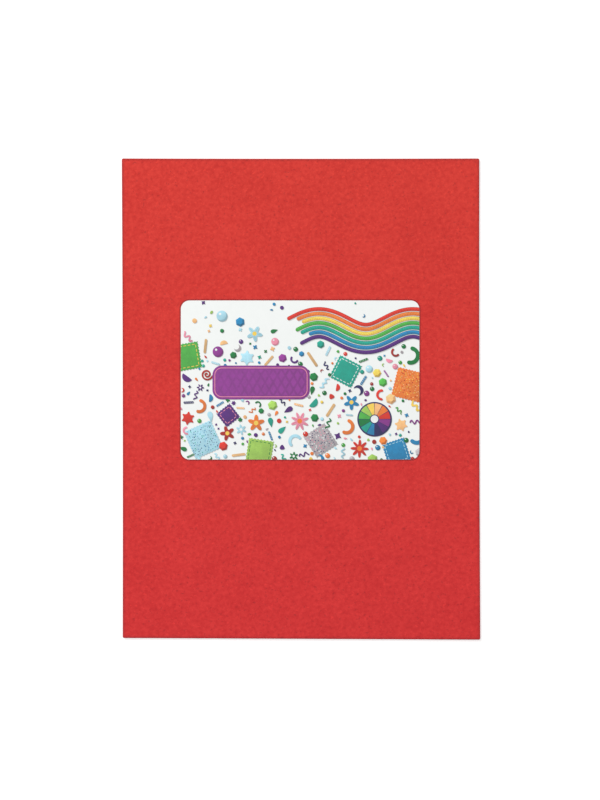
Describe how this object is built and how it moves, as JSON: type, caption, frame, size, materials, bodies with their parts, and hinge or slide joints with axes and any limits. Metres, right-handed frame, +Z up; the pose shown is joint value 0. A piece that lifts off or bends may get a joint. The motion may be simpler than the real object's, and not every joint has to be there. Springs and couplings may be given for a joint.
{
  "type": "craft foam sheet",
  "caption": "Thin flat rectangular sheet of soft coloured craft foam with softly rounded corners, and a rounded rectangular paper label stuck on its upper face.",
  "frame": {"origin": "the middle of the sheet's outline, on its underside", "axes": "+X across the sheet; +Y along its length, towards the label's upper edge; +Z up, out of the labelled face"},
  "size_m": [0.229, 0.3076, 0.0025],
  "materials": {
    "red_foam": "matte",
    "label_paper": "satin"
  },
  "bodies": {
    "root": {"foam_sheet": "red_foam", "label": "label_paper"}
  },
  "joints": []
}
